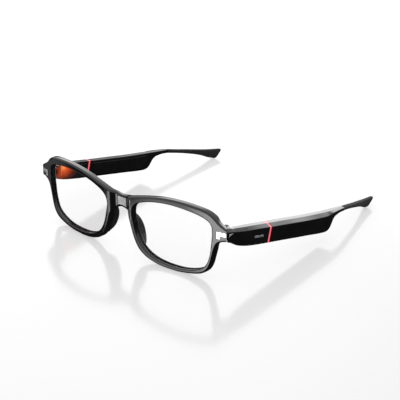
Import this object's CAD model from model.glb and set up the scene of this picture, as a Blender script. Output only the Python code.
"""Smart glasses standing open on a pale table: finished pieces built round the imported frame."""

import math

import bmesh
import bpy
import numpy as np
from mathutils import Euler, Matrix, Vector
from mathutils.geometry import delaunay_2d_cdt


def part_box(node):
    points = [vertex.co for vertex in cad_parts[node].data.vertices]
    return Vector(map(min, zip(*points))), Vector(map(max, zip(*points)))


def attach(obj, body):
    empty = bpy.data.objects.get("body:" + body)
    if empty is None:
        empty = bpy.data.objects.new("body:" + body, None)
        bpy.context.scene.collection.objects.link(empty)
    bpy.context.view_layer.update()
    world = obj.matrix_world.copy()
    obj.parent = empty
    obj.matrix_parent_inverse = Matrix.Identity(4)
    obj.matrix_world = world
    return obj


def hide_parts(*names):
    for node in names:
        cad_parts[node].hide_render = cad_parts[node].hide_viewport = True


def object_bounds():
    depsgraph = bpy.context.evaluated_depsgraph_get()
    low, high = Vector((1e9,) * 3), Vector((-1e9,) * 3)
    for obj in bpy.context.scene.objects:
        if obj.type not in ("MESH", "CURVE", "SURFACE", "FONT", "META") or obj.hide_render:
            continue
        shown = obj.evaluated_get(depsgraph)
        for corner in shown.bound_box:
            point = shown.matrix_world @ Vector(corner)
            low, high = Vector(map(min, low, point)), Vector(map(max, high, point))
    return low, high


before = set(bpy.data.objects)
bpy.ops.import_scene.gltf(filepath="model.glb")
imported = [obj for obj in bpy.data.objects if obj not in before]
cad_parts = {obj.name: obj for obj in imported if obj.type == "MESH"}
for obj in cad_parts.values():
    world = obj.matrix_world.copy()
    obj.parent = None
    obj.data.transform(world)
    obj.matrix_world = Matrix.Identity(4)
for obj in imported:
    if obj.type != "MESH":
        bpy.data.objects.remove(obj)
CAD_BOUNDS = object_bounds()

bl_info = {
    "name": "Smart Glasses",
    "version": (1, 0, 0),
    "blender": (4, 5, 0),
    "location": "View3D > Sidebar > Glasses",
    "description": "Builds a pair of folding smart glasses piece by piece",
    "category": "Add Mesh",
}

MM = 0.001
SIDES = (("left", 1.0), ("right", -1.0))
SHARP = math.radians(35)

# The front's shape, in millimetres from the middle plane, the rivets' face and the table.
FRONT_FACE = -6.8
FACE_CURVE = 0.00156
MITRE_X, MITRE_Y = 72.4, 1.35
DEPTH_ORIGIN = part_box("front_frame")[0].y / MM - FRONT_FACE
RING_FROM, RING_TO = 32.45, 33.45
NECK_END = 101.2
TIP_END = 139.1


def along(*pairs):
    """A smooth curve through (position, value) pairs that never overshoots them."""
    at, value = np.array(pairs, float).T
    rise = np.diff(value) / np.diff(at)
    before, after = rise[:-1], rise[1:]
    same = before * after > 0
    inner = np.where(same, 2 * before * after / np.where(same, before + after, 1), 0)
    slope = np.concatenate([[rise[0]], inner, [rise[-1]]])

    def curve(s):
        s = np.clip(np.asarray(s, float), at[0], at[-1])
        i = np.clip(np.searchsorted(at, s, "right") - 1, 0, len(at) - 2)
        h = at[i + 1] - at[i]
        t = (s - at[i]) / h
        return (
            value[i] * (1 + 2 * t) * (1 - t) ** 2
            + value[i + 1] * t * t * (3 - 2 * t)
            + slope[i] * h * t * (1 - t) ** 2
            - slope[i + 1] * h * t * t * (1 - t)
        )

    return curve


TEMPLE = {
    "inner": along((1.5, 68.0), (40, 68.1), (66, 68.5), (88, 68.8), (101, 68.8)),
    "outer": along((1.5, 72.4), (6, 72.9), (17, 74.2), (33, 74.6), (63, 75.3), (80, 75.4),
                   (86, 74.9), (92, 73.8), (101, 72.0)),
    "bottom": along((1.5, 24.4), (4, 23.4), (8.7, 20.8), (14, 19.0), (20, 17.6), (33, 15.1),
                    (45, 12.8), (57, 10.4), (66, 8.6), (76, 6.5), (81, 5.8), (84, 6.7),
                    (86, 8.7), (88, 10.8), (91, 11.9), (95, 12.0), (101, 11.2)),
    "top": along((1.5, 31.2), (6, 30.4), (20, 27.8), (35, 24.7), (50, 21.9), (66, 18.9),
                 (84, 16.1), (101, 13.6)),
    "slant": along((1.5, 0), (14, 0.05), (33, 0.27), (60, 0.2), (76, 0.1), (84, 0), (101, 0)),
    "mitre": along((1.5, 1), (4, 0.8), (9, 0), (101, 0)),
}
TIP = {
    "inner": along((101, 68.8), (104, 67.9), (116, 65.3), (132, 61.3), (140, 59.4)),
    "outer": along((101, 72.0), (104, 71.2), (116, 68.5), (132, 64.5), (140, 62.7)),
    "bottom": along((101, 11.2), (109, 9.4), (120, 6.3), (127, 4.0), (133, 1.6), (139.1, 0)),
    "top": along((101, 13.6), (105, 12.6), (120, 9.2), (131, 6.6), (139.1, 4.9)),
    "slant": along((101, 0), (118, 0.1), (132, 0.7), (139.1, 1.25)),
    "mitre": along((101, 0), (140, 0)),
}


# --- Mesh helpers -----------------------------------------------------------


def placed(points, mirror=1.0):
    """Design points in millimetres, as points of the row frame in metres."""
    points = np.array(points, float).reshape(-1, 3)
    points[:, 0] *= mirror
    points[:, 1] += DEPTH_ORIGIN
    return points * MM


def in_scene(name, data):
    """A new object of the scene."""
    thing = bpy.data.objects.new(name, data)
    bpy.context.scene.collection.objects.link(thing)
    return thing


def shade(mesh):
    """Shades a mesh smooth but for its sharp edges."""
    mesh.shade_smooth()
    mesh.set_sharp_from_angle(angle=SHARP)


def make_object(name, points, faces, mirror=1.0):
    """A smooth-shaded mesh object whose faces point outwards."""
    mesh = bpy.data.meshes.new(name)
    mesh.from_pydata(placed(points, mirror).tolist(), [], faces)
    mesh.validate()
    piece = in_scene(name, mesh)
    point_outwards(mesh)
    shade(mesh)
    return piece


def point_outwards(mesh):
    """Turns the faces of a closed mesh outwards."""
    work = bmesh.new()
    work.from_mesh(mesh)
    bmesh.ops.remove_doubles(work, verts=work.verts, dist=1e-7)
    bmesh.ops.recalc_face_normals(work, faces=work.faces)
    if work.calc_volume(signed=True) < 0:
        bmesh.ops.reverse_faces(work, faces=work.faces)
    work.to_mesh(mesh)
    work.free()


def skin(rings):
    """Points and faces of a closed tube through rings of shape (stations, points, 3)."""
    stations, count = rings.shape[:2]
    faces = []
    for i in range(stations - 1):
        for j in range(count):
            k = (j + 1) % count
            faces.append((i * count + j, i * count + k, (i + 1) * count + k, (i + 1) * count + j))
    faces.append(tuple(range(count)))
    faces.append(tuple((stations - 1) * count + j for j in reversed(range(count))))
    return rings.reshape(-1, 3), faces


def filleted(corners, radii, steps=5):
    """Rounds the corners of sections of shape (stations, corners, 2)."""
    count = corners.shape[1]
    points = []
    for i in range(count):
        here = corners[:, i]
        arms = []
        for other in (corners[:, i - 1], corners[:, (i + 1) % count]):
            arm = other - here
            length = np.linalg.norm(arm, axis=1, keepdims=True)
            arms.append((arm / length, np.minimum(radii[i], 0.42 * length)))
        (back, b), (ahead, a) = arms
        reach = np.minimum(a, b)
        start, end = here + back * reach, here + ahead * reach
        points.append(start + back * reach * 0.12)
        for t in np.linspace(0, 1, steps):
            points.append(start * (1 - t) ** 2 + here * 2 * t * (1 - t) + end * t * t)
        points.append(end + ahead * reach * 0.12)
    return np.stack(points, axis=1)


def on_bar(bar, stations, section):
    """Carries (x, z) sections to their places along a bar, with its slants."""
    s = stations[:, None]
    x, z = section[..., 0], section[..., 1]
    middle = (bar["bottom"](s) + bar["top"](s)) / 2
    y = s + bar["slant"](s) * (z - middle) + bar["mitre"](s) * (TEMPLE["outer"](s) - x)
    return np.stack([x, y, z], axis=2)


def end_easing(start, end, bevel, step):
    """Stations with eased ends, and how far each section is drawn in."""
    ease = np.array([0.0, 0.12, 0.35, 0.68, 1.0]) * bevel
    drawn = bevel - np.sqrt(np.maximum(bevel**2 - (bevel - ease) ** 2, 0))
    body = np.linspace(start + bevel, end - bevel, max(3, int((end - start) / step)))[1:-1]
    stations = np.concatenate([start + ease, body, (end - ease)[::-1]])
    return stations, np.concatenate([drawn, body * 0, drawn[::-1]])


def chamfered_corners(bar, s, draw=0.0):
    """The five corners of the temple's section: square but for a wide chamfer outside the top."""
    inner, outer = bar["inner"](s) + draw, bar["outer"](s) - draw
    bottom, top = bar["bottom"](s) + draw, bar["top"](s) - draw
    wide, tall = 0.44 * (outer - inner), 0.14 * (top - bottom)
    corners = [(inner, bottom), (outer, bottom), (outer, top - tall), (outer - wide, top),
               (inner, top)]
    return np.stack([np.stack(c, axis=1) for c in corners], axis=1)


CORNER_RADII = (0.7, 0.8, 0.22, 0.25, 0.5)


def chamfered_bar(start, end, bevel=0.12, step=0.7, grow=0.0):
    stations, draw = end_easing(start, end, bevel, step)
    section = filleted(chamfered_corners(TEMPLE, stations, draw - grow), CORNER_RADII)
    return skin(on_bar(TEMPLE, stations, section))


def box_bar(bar, start, end, low_x, high_x, low_z, high_z, radius=0.05, step=2.0):
    """A square bar between four curves of the station."""
    stations = np.linspace(start, end, max(2, int((end - start) / step)))
    x0, x1, z0, z1 = (f(stations) for f in (low_x, high_x, low_z, high_z))
    corners = [(x0, z0), (x1, z0), (x1, z1), (x0, z1)]
    section = filleted(np.stack([np.stack(c, axis=1) for c in corners], axis=1), [radius] * 4, 4)
    return skin(on_bar(bar, stations, section))


def material_of(piece, material):
    piece.data.materials.clear()
    piece.data.materials.append(material)


def carve(piece, *cutters):
    """Cuts the cutters out of a piece and removes them."""
    for cutter in cutters:
        cut = piece.modifiers.new("cut", "BOOLEAN")
        cut.operation, cut.solver, cut.object = "DIFFERENCE", "EXACT", cutter
    finish_mesh(piece)
    for cutter in cutters:
        bpy.data.objects.remove(cutter)


def plain_mesh(piece):
    """The plain mesh that a piece's modifiers make."""
    graph = bpy.context.evaluated_depsgraph_get()
    return bpy.data.meshes.new_from_object(piece.evaluated_get(graph))


def finish_mesh(piece):
    """Turns a piece's modifiers into its plain mesh."""
    mesh = plain_mesh(piece)
    piece.modifiers.clear()
    piece.data = mesh
    shade(mesh)


def finished(piece, body, slot, replaced, look=None):
    """Puts a finished piece on its body in place of a CAD node; its look is its slot's own."""
    material_of(piece, paint(look or slot))
    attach(piece, body)
    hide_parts(replaced)


# --- Outlines and plates ----------------------------------------------------


def hermite(p, spacing):
    """Points along the uniform spline through p[1] ... p[-2]."""
    out = []
    for i in range(1, len(p) - 2):
        count = max(2, int(np.linalg.norm(p[i + 1] - p[i]) / spacing))
        a, b, c, d = p[i - 1 : i + 3]
        for t in np.arange(count) / count:
            out.append(0.5 * (2 * b + (c - a) * t + (2 * a - 5 * b + 4 * c - d) * t**2
                              + (3 * b - a - 3 * c + d) * t**3))
    return out


def spline(points, spacing=0.45):
    """A smooth curve through points, end points included."""
    p = np.array([points[0], *points, points[-1]], float)
    return np.array(hermite(p, spacing) + [p[-1]])


def closed_spline(points, spacing=0.45):
    """A smooth closed ring through points."""
    return np.array(hermite(np.array([points[-1], *points, *points[:2]], float), spacing))


def bezier(start, pull_a, pull_b, end):
    t = np.linspace(0, 1, 24)[:, None]
    a, b, c, d = (np.array(p, float) for p in (start, pull_a, pull_b, end))
    return a * (1 - t) ** 3 + 3 * b * t * (1 - t) ** 2 + 3 * c * t * t * (1 - t) + d * t**3


def outset(outline, distance):
    """An outline moved outwards by a distance, or inwards by a negative one."""
    after = np.roll(outline, -1, axis=0) - outline
    before = outline - np.roll(outline, 1, axis=0)
    normals = []
    for edge in (before, after):
        edge = edge / np.linalg.norm(edge, axis=1, keepdims=True)
        normals.append(np.stack([-edge[:, 1], edge[:, 0]], axis=1))
    total = normals[0] + normals[1]
    push = total * 2 / np.maximum(np.sum(total * total, axis=1, keepdims=True), 0.8)
    x, z = outline.T
    turn = np.sum(x * np.roll(z, -1) - z * np.roll(x, -1))
    return outline - np.sign(turn) * push * distance


def smooth_step(low, high, value):
    t = np.clip((value - low) / (high - low), 0, 1)
    return t * t * (3 - 2 * t)


def inside_outline(points, outline):
    """Which points lie inside an outline."""
    x, z = points[:, 0:1], points[:, 1:2]
    x0, z0 = outline.T
    x1, z1 = np.roll(x0, -1), np.roll(z0, -1)
    crosses = (z0 > z) != (z1 > z)
    rise = np.where(z1 == z0, 1, z1 - z0)
    return np.sum(crosses & (x < (x1 - x0) * (z - z0) / rise + x0), axis=1) % 2 == 1


def fill_between(outer, holes, spacing):
    """Triangles between an outer ring and its holes, with a grid of points between them."""
    edge = np.vstack([outer, *holes])
    low, high = outer.min(axis=0), outer.max(axis=0)
    across, up = (np.arange(a + spacing / 2, b, spacing) for a, b in zip(low, high))
    grid = np.stack(np.meshgrid(across, up), axis=2).reshape(-1, 2)
    keep = inside_outline(grid, outer)
    for hole in holes:
        keep &= ~inside_outline(grid, hole)
    grid = grid[keep]
    clear = [np.min(np.sum((edge - g) ** 2, axis=1)) > (0.6 * spacing) ** 2 for g in grid]
    points = np.vstack([edge, grid[np.array(clear, bool)]])
    edges, first = [], 0
    for ring in (outer, *holes):
        edges += [(first + i, first + (i + 1) % len(ring)) for i in range(len(ring))]
        first += len(ring)
    found, _, triangles, *_ = delaunay_2d_cdt([Vector(p) for p in points], edges, [], 0, 1e-6)
    found = np.array([tuple(p) for p in found])
    middles = found[np.array(triangles)].mean(axis=1)
    keep = inside_outline(middles, outer)
    for hole in holes:
        keep &= ~inside_outline(middles, hole)
    return found, [triangle for triangle, kept in zip(triangles, keep) if kept]


def plate(contours, spacing=0.7, soften=None):
    """Points (across, up, depth) and faces of a plate.

    Each contour is an outline and its (outset, depth) profile from face to back, and the
    first is the outer edge. soften may change a ring once it has been moved.
    """
    points, faces, first = [], [], 0
    ends = ([], [])
    for outline, profile in contours:
        count = len(outline)
        for step, (out, deep) in enumerate(profile):
            ring = outset(outline, out)
            if soften:
                ring = soften(outline, ring)
            points.append(np.column_stack([ring, np.full(count, deep)]))
            if step in (0, len(profile) - 1):
                ends[step > 0].append(ring)
            if step:
                for j in range(count):
                    k = (j + 1) % count
                    a, b = first - count, first
                    faces.append((a + j, a + k, b + k, b + j))
            first += count
    for rings, deep in zip(ends, (contours[0][1][0][1], contours[0][1][-1][1])):
        flat, triangles = fill_between(rings[0], rings[1:], spacing)
        points.append(np.column_stack([flat, np.full(len(flat), deep)]))
        faces += [tuple(first + i for i in t) for t in triangles]
        first += len(flat)
    return np.vstack(points), faces


def rounded_profile(thick, bevel, steps=4):
    """(outset, depth) points of a plate's edge with both its edges rounded."""
    turn = np.linspace(0, math.pi / 2, steps + 1)
    front = [(bevel * (math.sin(a) - 1), bevel * (1 - math.cos(a))) for a in turn]
    back = [(out, thick - deep) for out, deep in reversed(front)]
    return [(-bevel * 1.15, 0), *front, *back, (-bevel * 1.15, thick)]


# --- Front ------------------------------------------------------------------

BROW = ((0, 33.4), (4, 33.9), (10, 35.6), (21, 38.3), (31, 40.1), (42, 40.8), (52, 40.4),
        (59.5, 39.3), (64, 37.3), (68, 34.0), (72.3, 31.6))
CHEEK = ((72.3, 24.6), (68.6, 23.6), (66.3, 21.8), (65, 18.8), (63.8, 14.5), (62.3, 9.3),
         (59.8, 5.2), (55.5, 2.5), (48.5, 0.9), (41, 0))
NOSE = ((33.5, 0), (26.5, 0.7), (19.5, 2.6), (14.2, 5.9), (11, 10.6), (9, 15.6), (7.3, 20.6),
        (5.3, 23.6), (3.1, 25.6), (0, 26.3))
LENS = ((9.9, 26.5), (10.9, 21), (13.3, 13.4), (17.6, 7.5), (24.5, 4.0), (33, 2.6), (43, 2.5),
        (51.5, 4.0), (58.4, 7.5), (61.4, 13.5), (62.6, 21), (63.2, 28.5), (61.9, 33.0),
        (56.5, 35.6), (47, 37.1), (36, 37.5), (25, 36.2), (16, 33.6), (11.3, 30.6))
END_X = 72.3
RIVET = ((66.4, 29.5), (66.4, 25.8), (68.3, 25.8), (68.3, 27.5), (72.0, 27.5), (72.0, 29.5))
PAD_FRONT = -2.6
GROOVE = (0.95, 3.05)
LENS_SEAT = 0.6
LENS_SET_BACK, LENS_THICK = 1.1, 1.8


def face_y(x):
    return FRONT_FACE + FACE_CURVE * x * x


def front_outline():
    """The front's closed outer edge."""
    left = np.vstack([spline(BROW), spline(CHEEK), spline(NOSE)])
    return np.vstack([left, left[1:-1][::-1] * (-1, 1)])


def keep_seam(outline, ring):
    """Holds the ends that meet the temples, so that the seam stays a thin line."""
    ring = ring.copy()
    at_end = np.abs(outline[:, 0]) > END_X - 0.05
    ring[at_end, 0] = outline[at_end, 0] + 0.15 * (ring[at_end, 0] - outline[at_end, 0])
    return ring


def front_profile(thick, chamfer):
    """(outset, depth) points of the outer edge: a wide chamfer in front, a soft one behind."""
    back = 0.5
    return [(-chamfer * 1.1, 0), (-chamfer, 0.015), (-chamfer * 0.93, 0.06),
            (-0.14, chamfer * 0.66), (-0.04, chamfer * 0.8), (0, chamfer), (0, chamfer * 1.2),
            (0, thick - back * 1.2), (-0.05, thick - back * 0.8), (-0.2, thick - back * 0.35),
            (-back * 0.75, thick - 0.03), (-back, thick), (-back * 1.2, thick)]


def opening_profile(thick, chamfer):
    """(outset, depth) points of a lens opening: a small chamfer, the lens groove, a soft back."""
    near, far = GROOVE
    return [(chamfer * 1.15, 0), (chamfer, 0.015), (chamfer * 0.85, 0.06),
            (0.06, chamfer * 0.75), (0.01, chamfer * 0.95), (0, near - 0.04), (0.03, near),
            (LENS_SEAT + 0.1, near + 0.05), (LENS_SEAT + 0.1, far - 0.05), (0.03, far),
            (0, far + 0.04), (0, thick - 0.35), (0.1, thick - 0.1), (0.3, thick),
            (0.4, thick)]


def bend_front(points, thick, bridge_depth):
    """Bends a flat front to the face curve, mitres its ends and sets its bridge back."""
    x, up, deep = points.T
    size = np.abs(x)
    limit = np.full(len(x), MITRE_X)
    for _ in range(6):
        limit = MITRE_X - (face_y(limit) + deep - MITRE_Y)
    start = 64.6
    squeezed = start + (size - start) * (limit - start) / (MITRE_X - start)
    x = np.sign(x) * np.where(size > start, squeezed, size)
    bridge = 1 - smooth_step(3.6, 8.4, np.abs(x))
    back = bridge_depth * bridge * (1 - 0.55 * deep / thick)
    return np.column_stack([x, face_y(x) + deep + back, up])


def build_front_shell(settings):
    thick, chamfer = settings.thickness / MM, settings.chamfer / MM
    opening = closed_spline(LENS)
    inner = opening_profile(thick, settings.inner_chamfer / MM)
    contours = [(front_outline(), front_profile(thick, chamfer)), (opening, inner),
                (opening * (-1, 1), inner)]
    points, faces = plate(contours, 0.6, keep_seam)
    shell = make_object("front_shell", bend_front(points, thick, settings.bridge_depth / MM), faces)
    cutters = []
    for side, mirror in SIDES:
        points, faces = plate([(outset(np.array(RIVET, float), 0.06), [(0, 0), (0, 1.0)])], 1.0)
        recess = np.column_stack([points[:, 0], face_y(points[:, 0]) + points[:, 2] - 0.55,
                                  points[:, 1]])
        cutters.append(make_object("rivet_recess_" + side, recess, faces, mirror))
        leaf = block_points((64.15, 2.45, 24.05), (68.55, 7.5, 29.75))
        cutters.append(make_object("leaf_pocket_" + side, *leaf, mirror))
    carve(shell, *cutters)
    return shell


def build_lens(side, mirror):
    outline = outset(closed_spline(LENS), LENS_SEAT)
    points, faces = plate([(outline, rounded_profile(LENS_THICK, 0.2))], 1.6)
    x = points[:, 0]
    points = np.column_stack([x, face_y(x) + LENS_SET_BACK + points[:, 2], points[:, 1]])
    return make_object("lens_glass_" + side, points, faces, mirror)


def build_rivet(side, mirror):
    points, faces = plate([(np.array(RIVET, float), rounded_profile(0.6, 0.07, 3))], 0.5)
    x = points[:, 0]
    points = np.column_stack([x, face_y(x) - 0.2 + points[:, 2], points[:, 1]])
    return make_object("rivet_plate_" + side, points, faces, mirror)


def build_nose_pad(side, mirror):
    """A half-moon pad with full rounded edges, leaning outwards as it goes back."""
    upper = bezier((PAD_FRONT, 25.0), (1.4, 23.6), (3.2, 17.5), (2.2, 12.5))
    lower = bezier((2.2, 12.5), (1.6, 9.4), (0.0, 7.4), (PAD_FRONT, 6.4))
    front = np.column_stack([np.full(38, PAD_FRONT), np.linspace(6.4, 25.0, 40)[1:-1]])
    outline = np.vstack([upper, lower[1:], front])
    points, faces = plate([(outline, rounded_profile(2.0, 0.85, 7))], 0.5)
    y, z, deep = points.T
    arch = along((6, 14.2), (10.6, 11), (15.6, 9), (20.6, 7.3), (25, 5.6))(z)
    back = y - PAD_FRONT
    x = arch - 0.1 + deep + 0.08 * back
    depth = face_y(arch) + 3.8 + 0.1 + back
    return make_object("pad_" + side, np.column_stack([x, depth, z]), faces, mirror)


# --- Temple -----------------------------------------------------------------

HOUSING_GAP = 0.1
FRONT_COVER = (13.0, 31.0)
REAR_COVER = (36.0, 82.0)
COVER_THICK, COVER_RIM, SEAM = 1.0, 1.0, 0.12
WALL, ROOF = 1.2, 1.9
CONTACTS = (38.5, 43.5)
UNDERSIDE_TILT = 0.19
BUTTON_AT, BUTTON_LENGTH, BUTTON_WIDTH = 25.0, 6.4, 2.2
GRILLE = (66.1, 75.9)


def block_points(low, high):
    corners = [(x, y, z) for x in (low[0], high[0]) for y in (low[1], high[1])
               for z in (low[2], high[2])]
    faces = [(0, 1, 3, 2), (4, 6, 7, 5), (0, 4, 5, 1), (2, 3, 7, 6), (0, 2, 6, 4), (1, 5, 7, 3)]
    return corners, faces


def post_points(x, y, low, high, radius):
    """An upright round post."""
    count = 32
    angle = np.arange(count) * 2 * math.pi / count
    ring = np.column_stack([x + radius * np.cos(angle), y + radius * np.sin(angle)])
    return skin(np.stack([np.column_stack([ring, np.full(count, z)]) for z in (low, high)]))


def temple_box(start, end, inner, outer, bottom, top):
    """A square bar whose four faces are offsets from the temple's own."""
    return box_bar(TEMPLE, start, end, lambda s: TEMPLE["inner"](s) + inner,
                   lambda s: TEMPLE["outer"](s) - outer, lambda s: TEMPLE["bottom"](s) + bottom,
                   lambda s: TEMPLE["top"](s) - top)


def core_box(start, end, half_width, half_height, bar=TEMPLE):
    """A square bar on a bar's middle line."""
    x = lambda s: (bar["inner"](s) + bar["outer"](s)) / 2
    z = lambda s: (bar["bottom"](s) + bar["top"](s)) / 2
    return box_bar(bar, start, end, lambda s: x(s) - half_width, lambda s: x(s) + half_width,
                   lambda s: z(s) - half_height, lambda s: z(s) + half_height, step=1.5)


def cover_box(start, end, gap, radius):
    """The inner cover's bar; with a gap, the rebate that it lies in."""
    reach = 1.0 if gap else 0.0
    return box_bar(TEMPLE, start - gap, end + gap, lambda s: TEMPLE["inner"](s) - reach,
                   lambda s: TEMPLE["inner"](s) + COVER_THICK + gap,
                   lambda s: TEMPLE["bottom"](s) + COVER_RIM - gap,
                   lambda s: TEMPLE["top"](s) - COVER_RIM - 0.5 + gap, radius, 0.8)


def middle_x(s):
    return (TEMPLE["inner"](s) + TEMPLE["outer"](s)) / 2 - 0.3


def on_underside(points, s):
    """Lays points (across, along, up) on the temple's sloping underside."""
    turn = Euler((-math.atan(UNDERSIDE_TILT), 0, 0)).to_matrix()
    turned = np.array(points, float) @ np.array(turn).T
    return turned + (middle_x(s), s, TEMPLE["bottom"](s))


def slot_shape(width, length, low, high, bevel=0.0):
    """A round-ended bar along y, between two heights."""
    half, radius, angle = (length - width) / 2, width / 2, np.linspace(0, math.pi, 17)
    ends = [np.column_stack([radius * np.cos(angle + turn), radius * np.sin(angle + turn)
                             + (half if turn == 0 else -half)]) for turn in (0, math.pi)]
    outline = np.vstack(ends)
    profile = [(-bevel, 0), (-bevel * 0.3, bevel * 0.3), (0, bevel), (0, high - low)]
    if not bevel:
        profile = [(0, 0), (0, high - low)]
    points, faces = plate([(outline, profile)], 0.8)
    return np.column_stack([points[:, 0], points[:, 1], low + points[:, 2]]), faces


def side_plate(outline, thick, proud, bevel):
    """A plate on the temple's outer face from an outline of (along, up) points."""
    points, faces = plate([(np.array(outline, float), rounded_profile(thick, bevel, 3))], 0.6)
    y, z, deep = points.T
    return np.column_stack([TEMPLE["outer"](y) + proud - deep, y, z]), faces


def build_front_housing(side, mirror):
    end = RING_FROM - HOUSING_GAP
    shell = make_object("front_housing_" + side, *chamfered_bar(1.55, end), mirror)
    shapes = [
        temple_box(14, 30.4, -1, WALL, WALL + 0.5, ROOF + 0.5),  # room for the electronics
        cover_box(*FRONT_COVER, SEAM, 0.9),
        block_points((66, 7, 23.7), (69.9, 10.9, 28.9)),  # the hinge leaf's pocket
        core_box(29, 34, 1.6, 2.2),  # the way through the ring
        post_points(72.9, 16.2, 24, 32, 0.35),  # the microphone's port
        side_plate(TRIM_RECESS, 1.4, 1.0, 0.02),
    ]
    if side == "right":
        points, faces = slot_shape(BUTTON_WIDTH + 0.4, BUTTON_LENGTH + 0.4, -3, 2.5)
        shapes.append((on_underside(points, BUTTON_AT), faces))
    else:
        shapes.append(side_plate(BADGE_RECESS, 1.35, 1.0, 0.02))
    carve(shell, *(make_object("cut", *shape, mirror) for shape in shapes))
    return shell


def build_rear_housing(side, mirror):
    start, end = RING_TO + HOUSING_GAP, NECK_END - HOUSING_GAP
    shell = make_object("rear_housing_" + side, *chamfered_bar(start, end), mirror)
    shapes = [
        temple_box(37, 81, -1, WALL, WALL + 0.5, ROOF + 0.5),  # room for the electronics
        cover_box(*REAR_COVER, SEAM, 0.9),
        core_box(32, 38, 1.6, 2.2),  # the way through the ring
        core_box(89.7, 103, 0.85, 0.6),  # the ear tip's steel core
        grille_box(65.9, 76.1, 0.15, 1.0, 0.6),  # the grille's seat
        grille_box(67, 75, -0.5, 1.0, 3.0),  # the way up to the speaker
    ]
    for s in CONTACTS:
        angle = np.arange(40) * math.pi / 20
        ring = np.column_stack([np.cos(angle), np.sin(angle)]) * 1.05
        points, faces = skin(np.stack([np.column_stack([ring, np.full(40, h)]) for h in (-3, 3)]))
        shapes.append((on_underside(points, s), faces))
    carve(shell, *(make_object("cut", *shape, mirror) for shape in shapes))
    return shell


def build_cover(side, mirror, name, span):
    return make_object(name + side, *cover_box(*span, 0, 0.9), mirror)


def build_ring(side, mirror, proud):
    """The ring between the housings, a little proud of them."""
    bar = chamfered_bar(RING_FROM, RING_TO, 0.1, 0.2, proud)
    ring = make_object("ring_" + side, *bar, mirror)
    bore = make_object("cut", *core_box(RING_FROM - 1, RING_TO + 1, 1.6, 2.2), mirror)
    carve(ring, bore)
    return ring


TRIM = ((2.9, 29.0), (2.9, 27.3), (5.6, 28.5))
TRIM_RECESS = ((2.82, 29.12), (2.82, 27.16), (5.8, 28.5))
BADGE = ((21, 21.45), (28, 19.95), (28, 21.1), (21, 22.6))
BADGE_RECESS = ((20.92, 21.37), (28.08, 19.86), (28.08, 21.17), (20.92, 22.69))


def build_trim(side, mirror):
    return make_object("trim_arrow_" + side, *side_plate(TRIM, 0.4, 0.12, 0.06), mirror)


def build_badge(side, mirror):
    return make_object("badge_bar_" + side, *side_plate(BADGE, 0.35, 0.05, 0.05), mirror)


def build_button(side, mirror):
    stem, faces = slot_shape(BUTTON_WIDTH, BUTTON_LENGTH, -0.5, 2.35, 0.25)
    button = make_object("button_cap_" + side, on_underside(stem, BUTTON_AT), faces, mirror)
    flange, faces = slot_shape(BUTTON_WIDTH + 1, BUTTON_LENGTH + 1, 1.95, 2.35)
    rim = make_object("cut", on_underside(flange, BUTTON_AT), faces, mirror)
    join = button.modifiers.new("join", "BOOLEAN")
    join.operation, join.solver, join.object = "UNION", "EXACT", rim
    finish_mesh(button)
    bpy.data.objects.remove(rim)
    return button


def build_ear_tip(side, mirror, squareness):
    """A soft tip whose rounded section bends down and inwards behind the ear."""
    stations, draw = end_easing(NECK_END, TIP_END, 0.45, 0.5)
    angle = (np.arange(56) + 0.5) * 2 * math.pi / 56
    power = 2 / squareness
    across = np.sign(np.cos(angle)) * np.abs(np.cos(angle)) ** power
    up = np.sign(np.sin(angle)) * np.abs(np.sin(angle)) ** power
    x0, x1, z0, z1 = (TIP[name](stations)[:, None] for name in ("inner", "outer", "bottom", "top"))
    half_x, half_z = (x1 - x0) / 2 - draw[:, None], (z1 - z0) / 2 - draw[:, None]
    section = np.stack([(x0 + x1) / 2 + half_x * across, (z0 + z1) / 2 + half_z * up], axis=2)
    tip = make_object("tip_" + side, *skin(on_bar(TIP, stations, section)), mirror)
    carve(tip, make_object("cut", *core_box(100, 126.4, 0.85, 0.6, TIP), mirror))
    return tip


def grille_box(start, end, gap, below, above):
    """A strip along the underside."""
    return box_bar(TEMPLE, start, end, lambda s: middle_x(s) - 1.2 - gap,
                   lambda s: middle_x(s) + 1.2 + gap, lambda s: TEMPLE["bottom"](s) - below,
                   lambda s: TEMPLE["bottom"](s) + above, 0.05, 1.0)


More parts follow.
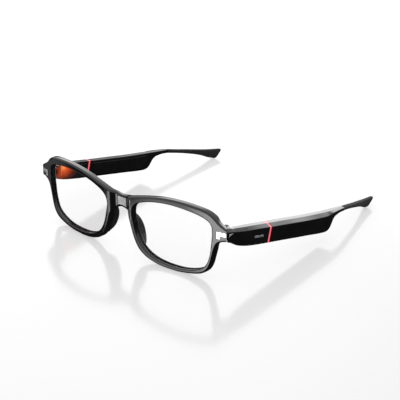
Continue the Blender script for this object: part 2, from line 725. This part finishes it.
def grille_nodes():
    """A node tree that lays slats at even steps along a curve."""
    tree = bpy.data.node_groups.new("slats_along_curve", "GeometryNodeTree")
    face = tree.interface
    face.new_socket("Geometry", in_out="INPUT", socket_type="NodeSocketGeometry")
    face.new_socket("Slat Count", in_out="INPUT", socket_type="NodeSocketInt")
    for name in ("Slat Length", "Slat Width", "Slat Height", "Slat Rounding"):
        face.new_socket(name, in_out="INPUT", socket_type="NodeSocketFloat")
    face.new_socket("Material", in_out="INPUT", socket_type="NodeSocketMaterial")
    face.new_socket("Geometry", in_out="OUTPUT", socket_type="NodeSocketGeometry")
    new, link = tree.nodes.new, tree.links.new
    given, result = new("NodeGroupInput"), new("NodeGroupOutput")
    resample = new("GeometryNodeResampleCurve")
    link(given.outputs["Geometry"], resample.inputs["Curve"])
    link(given.outputs["Slat Count"], resample.inputs["Count"])
    size = new("ShaderNodeCombineXYZ")
    link(given.outputs["Slat Length"], size.inputs["X"])
    link(given.outputs["Slat Width"], size.inputs["Y"])
    link(given.outputs["Slat Height"], size.inputs["Z"])
    slat = new("GeometryNodeMeshCube")
    link(size.outputs[0], slat.inputs["Size"])
    for axis in ("Vertices X", "Vertices Y", "Vertices Z"):
        slat.inputs[axis].default_value = 3
    where, centre = new("GeometryNodeInputPosition"), new("ShaderNodeVectorMath")
    centre.operation = "DIVIDE"
    link(where.outputs[0], centre.inputs[0])
    link(size.outputs[0], centre.inputs[1])
    distance = new("ShaderNodeVectorMath")
    distance.operation = "LENGTH"
    link(centre.outputs[0], distance.inputs[0])
    shrink = new("ShaderNodeMapRange")
    shrink.inputs["From Min"].default_value = 0.5
    shrink.inputs["From Max"].default_value = 0.87
    shrink.inputs["To Min"].default_value = 1.0
    link(distance.outputs["Value"], shrink.inputs["Value"])
    link(given.outputs["Slat Rounding"], shrink.inputs["To Max"])
    rounded = new("ShaderNodeVectorMath")
    rounded.operation = "SCALE"
    link(where.outputs[0], rounded.inputs[0])
    link(shrink.outputs[0], rounded.inputs["Scale"])
    shape = new("GeometryNodeSetPosition")
    link(slat.outputs["Mesh"], shape.inputs["Geometry"])
    link(rounded.outputs[0], shape.inputs["Position"])
    tangent, turn = new("GeometryNodeInputTangent"), new("FunctionNodeAlignRotationToVector")
    turn.axis = "Y"
    link(tangent.outputs[0], turn.inputs["Vector"])
    lay = new("GeometryNodeInstanceOnPoints")
    link(resample.outputs["Curve"], lay.inputs["Points"])
    link(shape.outputs["Geometry"], lay.inputs["Instance"])
    link(turn.outputs["Rotation"], lay.inputs["Rotation"])
    real, painted = new("GeometryNodeRealizeInstances"), new("GeometryNodeSetMaterial")
    link(lay.outputs["Instances"], real.inputs["Geometry"])
    link(real.outputs["Geometry"], painted.inputs["Geometry"])
    link(given.outputs["Material"], painted.inputs["Material"])
    link(painted.outputs["Geometry"], result.inputs["Geometry"])
    return tree


def build_grille(side, mirror, settings, material):
    """A thin strip under the speaker with slats across it."""
    base = make_object("grille_" + side, *grille_box(*GRILLE, 0, -0.22, 0.45), mirror)
    window = make_object("cut", *grille_box(67.2, 74.8, -0.35, 1, 1), mirror)
    carve(base, window)
    material_of(base, material)
    stations = np.linspace(67.0, 75.0, 12)
    heights = TEMPLE["bottom"](stations) + 0.24
    path = placed(np.column_stack([middle_x(stations), stations, heights]), mirror)
    curve = bpy.data.curves.new("slat_path", "CURVE")
    curve.dimensions = "3D"
    line = curve.splines.new("POLY")
    line.points.add(len(path) - 1)
    for point, at in zip(line.points, path):
        point.co = (*at, 1)
    slats = in_scene("slats", curve)
    tree = grille_nodes()
    modifier = slats.modifiers.new("slats", "NODES")
    modifier.node_group = tree
    values = {"Slat Count": settings.slat_count, "Slat Length": 2.3 * MM,
              "Slat Width": settings.slat_width, "Slat Height": 0.3 * MM, "Slat Rounding": 0.93,
              "Material": material}
    for item in tree.interface.items_tree:
        if item.in_out == "INPUT" and item.name in values:
            modifier[item.identifier] = values[item.name]
    mesh = plain_mesh(slats)
    bpy.data.objects.remove(slats)
    work = bmesh.new()
    work.from_mesh(base.data)
    work.from_mesh(mesh)
    work.to_mesh(base.data)
    work.free()
    shade(base.data)
    return base


# --- Materials --------------------------------------------------------------


class Finish:
    """A node-based material, built step by step."""

    def __init__(self, name, **constants):
        self.material = bpy.data.materials.new(name)
        self.material.use_nodes = True
        self.tree = self.material.node_tree
        self.shader = self.tree.nodes["Principled BSDF"]
        self.place = self.tree.nodes.new("ShaderNodeTexCoord")
        for socket, value in constants.items():
            self.shader.inputs[socket.replace("_", " ")].default_value = value

    def link(self, start, end):
        self.tree.links.new(start, end)

    def add(self, kind, **settings):
        node = self.tree.nodes.new(kind)
        for name, value in settings.items():
            if name in node.inputs:
                node.inputs[name].default_value = value
            else:
                setattr(node, name, value)
        return node

    def noise(self, scale, detail=2.0, stretch=(1, 1, 1)):
        """Noise with a scale in cells per metre."""
        mapping = self.add("ShaderNodeMapping", Scale=stretch)
        self.link(self.place.outputs["Object"], mapping.inputs["Vector"])
        noise = self.add("ShaderNodeTexNoise", Scale=scale, Detail=detail)
        self.link(mapping.outputs[0], noise.inputs["Vector"])
        return noise.outputs["Fac"]

    def remap(self, value, start, end, low=0.0, high=1.0):
        """Turns a value's range, start to end, into low to high."""
        node = self.add("ShaderNodeMapRange")
        limits = {"From Min": start, "From Max": end, "To Min": low, "To Max": high}
        for name, limit in limits.items():
            node.inputs[name].default_value = limit
        self.link(value, node.inputs["Value"])
        return node.outputs[0]

    def spread(self, value, low, high, socket):
        """Sends a noise to a shader socket as low to high."""
        self.link(self.remap(value, 0.3, 0.7, low, high), self.shader.inputs[socket])

    def tint(self, value, dark, light):
        """Blends the base colour between two colours."""
        ramp = self.add("ShaderNodeValToRGB")
        ramp.color_ramp.elements[0].position = 0.35
        ramp.color_ramp.elements[1].position = 0.65
        ramp.color_ramp.elements[0].color = (*dark, 1)
        ramp.color_ramp.elements[1].color = (*light, 1)
        self.link(value, ramp.inputs["Fac"])
        self.link(ramp.outputs["Color"], self.shader.inputs["Base Color"])

    def bump(self, value, distance, strength=1.0):
        node = self.add("ShaderNodeBump", Distance=distance, Strength=strength)
        self.link(value, node.inputs["Height"])
        self.link(node.outputs[0], self.shader.inputs["Normal"])


def lacquer(name, colour, roughness, waviness):
    """Polished moulded plastic: a dark body with a faint flow texture in its gloss."""
    finish = Finish(name, IOR=1.5)
    light = tuple(c * 1.35 for c in colour)
    finish.tint(finish.noise(140, 3), colour, light)
    finish.spread(finish.noise(420, 4), roughness * 0.85, roughness * 1.2, "Roughness")
    finish.bump(finish.noise(260, 1), waviness, 0.5)
    return finish


# The status light's spill: its middle on the right temple, how far it reaches in millimetres,
# how much less it spreads upwards, and its colours from the middle to the end of its reach.
LAMP_AT, LAMP_REACH, LAMP_SQUASH = (67.0, 13.2, 26.9), 13.5, 1.3
LAMP_SPILL = ((0.0, (1.0, 0.42, 0.16)), (0.1, (1.0, 0.28, 0.07)), (0.24, (0.8, 0.10, 0.015)),
              (0.45, (0.42, 0.05, 0.008)), (0.7, (0.09, 0.013, 0.003)), (1.0, (0, 0, 0)))


def lit_by_lamp(finish):
    """Adds the lamp's orange spill to what faces inwards from the right temple."""
    flat = Vector((1, 1, LAMP_SQUASH))
    squashed = finish.add("ShaderNodeMapping", Scale=flat)
    finish.link(finish.place.outputs["Object"], squashed.inputs["Vector"])
    away = finish.add("ShaderNodeVectorMath", operation="DISTANCE")
    away.inputs[1].default_value = Vector(placed([LAMP_AT], -1.0)[0]) * flat
    finish.link(squashed.outputs[0], away.inputs[0])
    ramp = finish.add("ShaderNodeValToRGB")
    reach = finish.remap(away.outputs["Value"], 0.0, LAMP_REACH * MM)
    finish.link(reach, ramp.inputs["Fac"])
    first, *between, last = LAMP_SPILL
    stops = ramp.color_ramp.elements
    stops[0].position, stops[0].color = first[0], (*first[1], 1)
    stops[1].position, stops[1].color = last[0], (*last[1], 1)
    for position, glow in between:
        stops.new(position).color = (*glow, 1)
    split = finish.add("ShaderNodeSeparateXYZ")
    finish.link(finish.place.outputs["Normal"], split.inputs[0])
    power = finish.add("ShaderNodeMath", operation="MULTIPLY")
    finish.link(finish.remap(split.outputs["X"], 0.25, 0.8), power.inputs[0])
    finish.link(finish.remap(finish.noise(300, 2), 0.0, 1.0, 0.8, 1.15), power.inputs[1])
    finish.link(ramp.outputs["Color"], finish.shader.inputs["Emission Color"])
    finish.link(power.outputs[0], finish.shader.inputs["Emission Strength"])
    return finish.material


def rubber(name, colour):
    finish = Finish(name, IOR=1.4, Specular_IOR_Level=0.25)
    light = tuple(c * 1.25 for c in colour)
    finish.tint(finish.noise(600, 4), colour, light)
    finish.spread(finish.noise(1500, 3), 0.65, 0.8, "Roughness")
    finish.bump(finish.noise(5200, 3), 0.012 * MM, 0.8)
    return finish.material


def coral_plastic(name, colour):
    finish = Finish(name, IOR=1.5)
    finish.tint(finish.noise(300, 2), colour, tuple(min(1, c * 1.12) for c in colour))
    finish.spread(finish.noise(900, 2), 0.1, 0.16, "Roughness")
    finish.shader.inputs["Emission Color"].default_value = (*colour, 1)
    finish.shader.inputs["Emission Strength"].default_value = 0.35
    finish.bump(finish.noise(4000, 2), 0.002 * MM, 0.4)
    return finish.material


def lens_coat(name, colour, opacity):
    """Coated plastic: nearly clear seen square on, and glossier seen edge on."""
    finish = Finish(name, IOR=1.4)
    edge = finish.add("ShaderNodeLayerWeight", Blend=0.5)
    clear = finish.remap(edge.outputs["Facing"], 0.55, 1.0, opacity, 0.45)
    finish.link(clear, finish.shader.inputs["Alpha"])
    finish.tint(finish.noise(60, 2), colour, tuple(min(1, c * 1.04) for c in colour))
    finish.spread(finish.noise(90, 2), 0.02, 0.05, "Roughness")
    return finish.material


def black_steel(name):
    """Steel with a black finish, brushed along its length."""
    finish = Finish(name, Metallic=1.0)
    grain = finish.noise(2600, 3, (1, 12, 1))
    finish.tint(grain, (0.035, 0.035, 0.038), (0.05, 0.05, 0.054))
    finish.spread(grain, 0.26, 0.4, "Roughness")
    finish.bump(grain, 0.003 * MM, 0.5)
    return finish


def metal(name, colour, roughness, brushed=False):
    finish = Finish(name, Metallic=1.0)
    stretch = (1, 12, 1) if brushed else (1, 1, 1)
    grain = finish.noise(2600 if brushed else 500, 3, stretch)
    finish.tint(grain, tuple(c * 0.88 for c in colour), colour)
    finish.spread(grain, roughness * 0.8, roughness * 1.25, "Roughness")
    finish.bump(grain, 0.003 * MM if brushed else 0.0008 * MM, 0.5)
    return finish.material


def matte_plastic(name, colour, grain_size=0.25):
    finish = Finish(name, IOR=1.46)
    grain = finish.noise(1 / (grain_size * MM), 3)
    finish.tint(grain, colour, tuple(c * 1.3 for c in colour))
    finish.spread(grain, 0.5, 0.65, "Roughness")
    finish.bump(grain, 0.01 * MM, 0.7)
    return finish.material


def circuit_board(name, colour):
    """Green solder mask with copper runs showing through it."""
    finish = Finish(name, IOR=1.5)
    tracks = finish.add("ShaderNodeTexBrick", Scale=900.0)
    tracks.inputs["Color1"].default_value = (*colour, 1)
    tracks.inputs["Color2"].default_value = (*(c * 1.6 for c in colour), 1)
    tracks.inputs["Mortar"].default_value = (0.35, 0.25, 0.06, 1)
    tracks.inputs["Mortar Size"].default_value = 0.06
    turned = finish.add("ShaderNodeMapping", Rotation=(0, math.pi / 2, 0))
    finish.link(finish.place.outputs["Object"], turned.inputs["Vector"])
    finish.link(turned.outputs[0], tracks.inputs["Vector"])
    finish.link(tracks.outputs["Color"], finish.shader.inputs["Base Color"])
    finish.spread(finish.noise(1500, 2), 0.3, 0.45, "Roughness")
    finish.bump(tracks.outputs["Fac"], 0.02 * MM, 0.4)
    return finish.material


def cell_wrap(name, colour):
    """Crinkled foil round a cell."""
    finish = Finish(name, Metallic=0.7)
    finish.tint(finish.noise(420, 4), tuple(c * 0.8 for c in colour), colour)
    finish.spread(finish.noise(700, 3), 0.25, 0.45, "Roughness")
    finish.bump(finish.noise(500, 3), 0.05 * MM, 0.7)
    return finish.material


def status_lamp(name, colour):
    finish = Finish(name, IOR=1.46)
    grain = finish.noise(1800, 2)
    finish.tint(grain, tuple(c * 0.8 for c in colour), colour)
    finish.spread(grain, 0.25, 0.4, "Roughness")
    finish.shader.inputs["Emission Color"].default_value = (*colour, 1)
    finish.shader.inputs["Emission Strength"].default_value = 2.0
    return finish.material


STILL = 1e-6  # waves too low to see, in metres
MADE = {}


def paint(slot):
    """The material for a slot of the record, made once."""
    if slot not in MADE:
        kit = bpy.context.scene.glasses_finishes
        shell, gloss = tuple(kit.shell_colour), kit.shell_roughness
        make = {
            "gloss_black": lambda: lacquer(slot, shell, gloss, kit.shell_waviness).material,
            "cover_black": lambda: lacquer(slot, shell, 0.14, STILL).material,
            "glow_cover": lambda: lit_by_lamp(lacquer(slot, shell, 0.14, STILL)),
            "glow_shell": lambda: lit_by_lamp(lacquer(slot, shell, gloss, STILL)),
            "glow_hinge": lambda: lit_by_lamp(black_steel(slot)),
            "pad_black": lambda: lacquer(slot, (0.012, 0.012, 0.013), 0.16, STILL).material,
            "tip_rubber": lambda: rubber(slot, tuple(kit.rubber_colour)),
            "clear_lens": lambda: lens_coat(slot, (0.10, 0.11, 0.12), kit.lens_opacity),
            "accent_coral": lambda: coral_plastic(slot, tuple(kit.accent_colour)),
            "silver_trim": lambda: metal(slot, (0.9, 0.91, 0.92), 0.16),
            "satin_silver": lambda: metal(slot, (0.9, 0.91, 0.92), 0.5),
            "hinge_steel": lambda: metal(slot, (0.45, 0.46, 0.48), 0.32, True),
            "hinge_black": lambda: black_steel(slot).material,
            "contact_gold": lambda: metal(slot, (0.9, 0.64, 0.25), 0.25),
            "board_green": lambda: circuit_board(slot, (0.02, 0.11, 0.045)),
            "cell_foil": lambda: cell_wrap(slot, (0.62, 0.64, 0.67)),
            "matte_black": lambda: matte_plastic(slot, (0.028, 0.028, 0.03)),
            "status_amber": lambda: status_lamp(slot, (1.0, 0.35, 0.08)),
        }
        MADE[slot] = make[slot]()
    return MADE[slot]


def keep_node(node, slot):
    """Gives a CAD node that stays its finish."""
    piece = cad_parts[node]
    material_of(piece, paint(slot))


# --- Stage ------------------------------------------------------------------


def lobe(tree, direction, inner, outer, strength, total):
    """Adds a soft patch of light round a direction to a running total, angles in degrees."""
    new, link = tree.nodes.new, tree.links.new
    along_it = new("ShaderNodeVectorMath")
    along_it.operation = "DOT_PRODUCT"
    link(tree.nodes["Texture Coordinate"].outputs["Generated"], along_it.inputs[0])
    along_it.inputs[1].default_value = Vector(direction).normalized()
    fade = new("ShaderNodeMapRange")
    fade.interpolation_type = "SMOOTHSTEP"
    fade.inputs["From Min"].default_value = math.cos(math.radians(outer))
    fade.inputs["From Max"].default_value = math.cos(math.radians(inner))
    fade.inputs["To Max"].default_value = strength
    link(along_it.outputs["Value"], fade.inputs["Value"])
    both = new("ShaderNodeMath")
    link(total, both.inputs[0])
    link(fade.outputs[0], both.inputs[1])
    return both.outputs[0]


LIGHTS = (
    # direction, inner and outer angle, strength
    ((-0.208, 0.978, 0.0), 25.5, 33, 2.5),
    ((-0.76, 0.494, 0.423), 12, 26, 1.5),
    ((0.0, 0.0, 1.0), 20, 80, 0.5),
    ((-0.285, -0.876, -0.39), 2, 9, 4.2),
    ((-0.285, -0.876, -0.39), 15, 26, 2.4),
    ((-0.679, -0.628, -0.38), 1.2, 2.4, 9.0),
    ((-0.89, 0.26, -0.38), 8, 20, 0.7),
    ((-0.89, -0.30, -0.34), 3, 8, 0.35),
)


def build_world(settings):
    world = bpy.data.worlds.new("soft_studio")
    bpy.context.scene.world = world
    world.use_nodes = True
    tree = world.node_tree
    place = tree.nodes.new("ShaderNodeTexCoord")
    split = tree.nodes.new("ShaderNodeSeparateXYZ")
    tree.links.new(place.outputs["Generated"], split.inputs[0])
    base = tree.nodes.new("ShaderNodeMapRange")
    base.interpolation_type = "SMOOTHSTEP"
    base.inputs["From Min"].default_value = 0.02
    base.inputs["From Max"].default_value = 0.3
    base.inputs["To Min"].default_value = settings.low_light
    base.inputs["To Max"].default_value = settings.high_light
    tree.links.new(split.outputs["Z"], base.inputs["Value"])
    total = base.outputs[0]
    for direction, inner, outer, strength in LIGHTS:
        total = lobe(tree, direction, inner, outer, strength, total)
    # Seen directly, past the table's edge, the studio is one plain pale tone.
    seen, plain = tree.nodes.new("ShaderNodeLightPath"), tree.nodes.new("ShaderNodeMix")
    tree.links.new(seen.outputs["Is Camera Ray"], plain.inputs["Factor"])
    tree.links.new(total, plain.inputs["A"])
    plain.inputs["B"].default_value = settings.backdrop
    background = tree.nodes["Background"]
    background.inputs["Color"].default_value = (1, 1, 1, 1)
    tree.links.new(plain.outputs["Result"], background.inputs["Strength"])


def build_floor(settings):
    size = 4.0
    corners = [(-size, -size, 0), (size, -size, 0), (size, size, 0), (-size, size, 0)]
    mesh = bpy.data.meshes.new("floor")
    mesh.from_pydata(corners, [], [(0, 1, 2, 3)])
    floor = in_scene("floor", mesh)
    floor.location.z = CAD_BOUNDS[0].z - 0.05 * MM
    floor.visible_glossy = False
    finish = Finish("pale_table", IOR=1.34)
    finish.shader.inputs["Emission Color"].default_value = (1, 1, 1, 1)
    finish.shader.inputs["Emission Strength"].default_value = settings.floor_glow
    shade = tuple(settings.floor_colour)
    finish.tint(finish.noise(3, 2), shade, tuple(c * 1.01 for c in shade))
    finish.spread(finish.noise(20, 2), settings.floor_roughness, settings.floor_roughness * 1.1,
                  "Roughness")
    material_of(floor, finish.material)


def build_camera(settings):
    data = bpy.data.cameras.new("camera")
    data.lens, data.sensor_width = settings.focal_length, 36.0
    data.clip_start, data.clip_end = 0.05, 20.0
    camera = in_scene("camera", data)
    turn, lift = settings.azimuth, settings.elevation
    back = Vector((math.sin(turn) * math.cos(lift), -math.cos(turn) * math.cos(lift),
                   math.sin(lift)))
    low, high = CAD_BOUNDS
    aim = (low + high) / 2 + Vector(settings.aim_offset)
    camera.location = aim + back * settings.distance
    facing = (-back).to_track_quat("-Z", "Y").to_matrix()
    roll = Matrix.Rotation(settings.roll, 3, "Z")
    camera.rotation_euler = (facing @ roll).to_euler()
    bpy.context.scene.camera = camera


# --- Settings ---------------------------------------------------------------


def length(name, description, default):
    return bpy.props.FloatProperty(name=name, description=description, default=default, min=0.0,
                                   unit="LENGTH", precision=5)


def colour(name, description, default):
    return bpy.props.FloatVectorProperty(name=name, description=description, default=default,
                                         size=3, subtype="COLOR", min=0.0, max=1.0)


def angle(name, description, degrees):
    return bpy.props.FloatProperty(name=name, description=description, subtype="ANGLE",
                                   default=math.radians(degrees))


def share(name, description, default):
    return bpy.props.FloatProperty(name=name, description=description, default=default, min=0.0,
                                   max=1.0, subtype="FACTOR")


def strength(name, description, default):
    return bpy.props.FloatProperty(name=name, description=description, default=default, min=0.0)


class GLASSES_PG_front(bpy.types.PropertyGroup):
    """Sizes of the front."""

    thickness: length("Thickness", "Depth of the front from face to back", 3.8 * MM)
    chamfer: length("Outer chamfer", "Width of the chamfer round the outer edge", 0.9 * MM)
    inner_chamfer: length("Inner chamfer", "Width of the chamfer round each lens", 0.45 * MM)
    bridge_depth: length("Bridge depth", "How far the bridge lies behind the rims", 2.5 * MM)


class GLASSES_PG_temple(bpy.types.PropertyGroup):
    """Sizes of the temples and their tips."""

    ring_proud: length("Ring stand-out", "How far the ring stands out of the housings", 0.05 * MM)
    tip_squareness: bpy.props.FloatProperty(
        name="Tip squareness", description="2 is an oval ear tip and more is squarer",
        default=3.4, min=2.0, max=8.0)
    slat_count: bpy.props.IntProperty(
        name="Slats", description="Slats across each speaker grille", default=13, min=3, max=40)
    slat_width: length("Slat width", "Width of one grille slat", 0.32 * MM)


class GLASSES_PG_finishes(bpy.types.PropertyGroup):
    """Colours and gloss."""

    shell_colour: colour("Shell colour", "Colour of the polished shells", (0.004, 0.004, 0.0045))
    shell_roughness: share("Shell roughness", "Roughness of the polished shells", 0.1)
    shell_waviness: length("Shell waviness", "Height of the moulding's faint waves", 0.001 * MM)
    rubber_colour: colour("Tip colour", "Colour of the rubber ear tips", (0.012, 0.012, 0.013))
    accent_colour: colour("Ring colour", "Colour of the accent rings", (0.95, 0.115, 0.14))
    lens_opacity: share("Lens opacity", "How much of a lens's coating shows", 0.03)


class GLASSES_PG_stage(bpy.types.PropertyGroup):
    """Camera, floor and light."""

    azimuth: angle("Azimuth", "Turn of the camera round the object", 43.47)
    elevation: angle("Elevation", "Height of the camera above the horizon", 22.39)
    roll: angle("Roll", "Tilt of the camera about its own axis", -0.55)
    distance: length("Distance", "Distance from the camera to its aim", 0.79)
    focal_length: bpy.props.FloatProperty(
        name="Focal length", description="Focal length in millimetres", default=124.3, min=10.0)
    aim_offset: bpy.props.FloatVectorProperty(
        name="Aim offset", description="The camera's aim, from the middle of the object",
        default=(0.0080, -0.0183, -0.0043), size=3, subtype="TRANSLATION")
    floor_glow: share("Floor glow", "Light of the lit table itself", 0.55)
    floor_colour: colour("Floor colour", "Colour of the table", (0.20, 0.20, 0.20))
    floor_roughness: share("Floor roughness", "Roughness of the table's faint mirror", 0.13)
    high_light: strength("Upper light", "Light from above the horizon", 0.9)
    low_light: strength("Lower light", "Light from below the horizon", 0.02)
    backdrop: strength("Backdrop", "Tone of the studio seen past the table", 0.93)


# --- Operators --------------------------------------------------------------


class GLASSES_OT_front(bpy.types.Operator):
    """Builds the front with its lenses' grooves."""

    bl_idname = "glasses.front"
    bl_label = "Front"

    def execute(self, context):
        shell = build_front_shell(context.scene.glasses_front)
        finished(shell, "front", "gloss_black", "front_frame")
        return {"FINISHED"}


class GLASSES_OT_lenses(bpy.types.Operator):
    """Builds both lenses."""

    bl_idname = "glasses.lenses"
    bl_label = "Lenses"

    def execute(self, context):
        for side, mirror in SIDES:
            lens = build_lens(side, mirror)
            finished(lens, "front", "clear_lens", "lens_" + side)
        return {"FINISHED"}


class GLASSES_OT_nose_pads(bpy.types.Operator):
    """Builds both nose pads."""

    bl_idname = "glasses.nose_pads"
    bl_label = "Nose Pads"

    def execute(self, context):
        for side, mirror in SIDES:
            pad = build_nose_pad(side, mirror)
            finished(pad, "front", "pad_black", "nose_pad_" + side)
        return {"FINISHED"}


class GLASSES_OT_rivets(bpy.types.Operator):
    """Builds the silver plates on the front's end pieces."""

    bl_idname = "glasses.rivets"
    bl_label = "Rivet Plates"

    def execute(self, context):
        for side, mirror in SIDES:
            plate_piece = build_rivet(side, mirror)
            finished(plate_piece, "front", "silver_trim", "front_rivet_" + side)
        return {"FINISHED"}


class GLASSES_OT_hinges(bpy.types.Operator):
    """Finishes the barrel hinges and their screws."""

    bl_idname = "glasses.hinges"
    bl_label = "Hinges"

    def execute(self, context):
        for side, _ in SIDES:
            for node in ("hinge_front_leaf_", "hinge_temple_leaf_", "hinge_screw_"):
                keep_node(node + side, "glow_hinge" if side == "right" else "hinge_black")
        return {"FINISHED"}


class GLASSES_OT_housings(bpy.types.Operator):
    """Builds the front and rear housings of both temples."""

    bl_idname = "glasses.housings"
    bl_label = "Temple Housings"

    def execute(self, context):
        for side, mirror in SIDES:
            body = "temple_" + side
            front_look = "glow_shell" if side == "right" else "gloss_black"
            housing = build_front_housing(side, mirror)
            finished(housing, body, "gloss_black", "temple_front_housing_" + side, front_look)
            housing = build_rear_housing(side, mirror)
            finished(housing, body, "gloss_black", "temple_rear_housing_" + side)
        return {"FINISHED"}


class GLASSES_OT_covers(bpy.types.Operator):
    """Builds the inner covers; the right front one glows."""

    bl_idname = "glasses.covers"
    bl_label = "Inner Covers"

    def execute(self, context):
        for side, mirror in SIDES:
            body = "temple_" + side
            slot = "glow_cover" if side == "right" else "cover_black"
            cover = build_cover(side, mirror, "front_cover_", FRONT_COVER)
            finished(cover, body, slot, "temple_front_cover_" + side)
            cover = build_cover(side, mirror, "rear_cover_", REAR_COVER)
            finished(cover, body, "cover_black", "temple_rear_cover_" + side)
        return {"FINISHED"}


class GLASSES_OT_rings(bpy.types.Operator):
    """Builds the coral rings between the housings."""

    bl_idname = "glasses.rings"
    bl_label = "Accent Rings"

    def execute(self, context):
        for side, mirror in SIDES:
            ring = build_ring(side, mirror, context.scene.glasses_temple.ring_proud / MM)
            finished(ring, "temple_" + side, "accent_coral", "accent_ring_" + side)
        return {"FINISHED"}


class GLASSES_OT_trims(bpy.types.Operator):
    """Builds the small silver arrows and the plain bar on the left temple."""

    bl_idname = "glasses.trims"
    bl_label = "Silver Trims"

    def execute(self, context):
        for side, mirror in SIDES:
            trim = build_trim(side, mirror)
            finished(trim, "temple_" + side, "silver_trim", "temple_trim_" + side, "satin_silver")
        badge = build_badge(*SIDES[0])
        finished(badge, "temple_left", "silver_trim", "temple_badge_left", "satin_silver")
        return {"FINISHED"}


class GLASSES_OT_ear_tips(bpy.types.Operator):
    """Builds the rubber ear tips and finishes the steel cores inside them."""

    bl_idname = "glasses.ear_tips"
    bl_label = "Ear Tips"

    def execute(self, context):
        for side, mirror in SIDES:
            tip = build_ear_tip(side, mirror, context.scene.glasses_temple.tip_squareness)
            finished(tip, "temple_" + side, "tip_rubber", "ear_tip_" + side)
            keep_node("tip_core_" + side, "hinge_steel")
        return {"FINISHED"}


class GLASSES_OT_grilles(bpy.types.Operator):
    """Builds the speaker grilles on the temples' undersides."""

    bl_idname = "glasses.grilles"
    bl_label = "Speaker Grilles"

    def execute(self, context):
        for side, mirror in SIDES:
            grille = build_grille(side, mirror, context.scene.glasses_temple, paint("matte_black"))
            finished(grille, "temple_" + side, "matte_black", "speaker_grille_" + side)
        return {"FINISHED"}


class GLASSES_OT_button(bpy.types.Operator):
    """Builds the power button and finishes the switch above it."""

    bl_idname = "glasses.button"
    bl_label = "Power Button"

    def execute(self, context):
        button = build_button(*SIDES[1])
        finished(button, "button", "matte_black", "power_button_right")
        keep_node("button_switch_right", "matte_black")
        return {"FINISHED"}


class GLASSES_OT_electronics(bpy.types.Operator):
    """Finishes the electronics inside the temples and the charging contacts."""

    bl_idname = "glasses.electronics"
    bl_label = "Electronics"

    def execute(self, context):
        for side, _ in SIDES:
            keep_node("battery_" + side, "cell_foil")
            keep_node("circuit_board_" + side, "board_green")
            keep_node("microphone_" + side, "hinge_steel")
            keep_node("speaker_" + side, "matte_black")
            keep_node("charge_contact_front_" + side, "contact_gold")
            keep_node("charge_contact_rear_" + side, "contact_gold")
        keep_node("status_led_right", "status_amber")
        return {"FINISHED"}


class GLASSES_OT_stage(bpy.types.Operator):
    """Builds the camera, the pale floor and the soft light."""

    bl_idname = "glasses.stage"
    bl_label = "Stage"

    def execute(self, context):
        build_camera(context.scene.glasses_stage)
        build_floor(context.scene.glasses_stage)
        build_world(context.scene.glasses_stage)
        context.scene.view_settings.view_transform = "Standard"
        return {"FINISHED"}


OPERATORS = (GLASSES_OT_front, GLASSES_OT_lenses, GLASSES_OT_nose_pads, GLASSES_OT_rivets,
             GLASSES_OT_hinges, GLASSES_OT_housings, GLASSES_OT_covers, GLASSES_OT_rings,
             GLASSES_OT_trims, GLASSES_OT_ear_tips, GLASSES_OT_grilles, GLASSES_OT_button,
             GLASSES_OT_electronics, GLASSES_OT_stage)
GROUPS = {"glasses_front": GLASSES_PG_front, "glasses_temple": GLASSES_PG_temple,
          "glasses_finishes": GLASSES_PG_finishes, "glasses_stage": GLASSES_PG_stage}


class GLASSES_PT_panel(bpy.types.Panel):
    """The settings and the steps, in building order."""

    bl_idname = "GLASSES_PT_panel"
    bl_label = "Smart Glasses"
    bl_space_type = "VIEW_3D"
    bl_region_type = "UI"
    bl_category = "Glasses"

    def draw(self, context):
        for name, group in GROUPS.items():
            box = self.layout.box()
            for setting in group.__annotations__:
                box.prop(getattr(context.scene, name), setting)
        for operator in OPERATORS:
            self.layout.operator(operator.bl_idname)


def register():
    for group in GROUPS.values():
        bpy.utils.register_class(group)
    for operator in OPERATORS:
        bpy.utils.register_class(operator)
    bpy.utils.register_class(GLASSES_PT_panel)
    for name, group in GROUPS.items():
        setattr(bpy.types.Scene, name, bpy.props.PointerProperty(type=group))


def unregister():
    for name in GROUPS:
        delattr(bpy.types.Scene, name)
    for kind in (GLASSES_PT_panel, *reversed(OPERATORS), *GROUPS.values()):
        bpy.utils.unregister_class(kind)


def main():
    register()
    for operator in OPERATORS:
        family, name = operator.bl_idname.split(".")
        getattr(getattr(bpy.ops, family), name)()


if __name__ == "__main__":
    main()
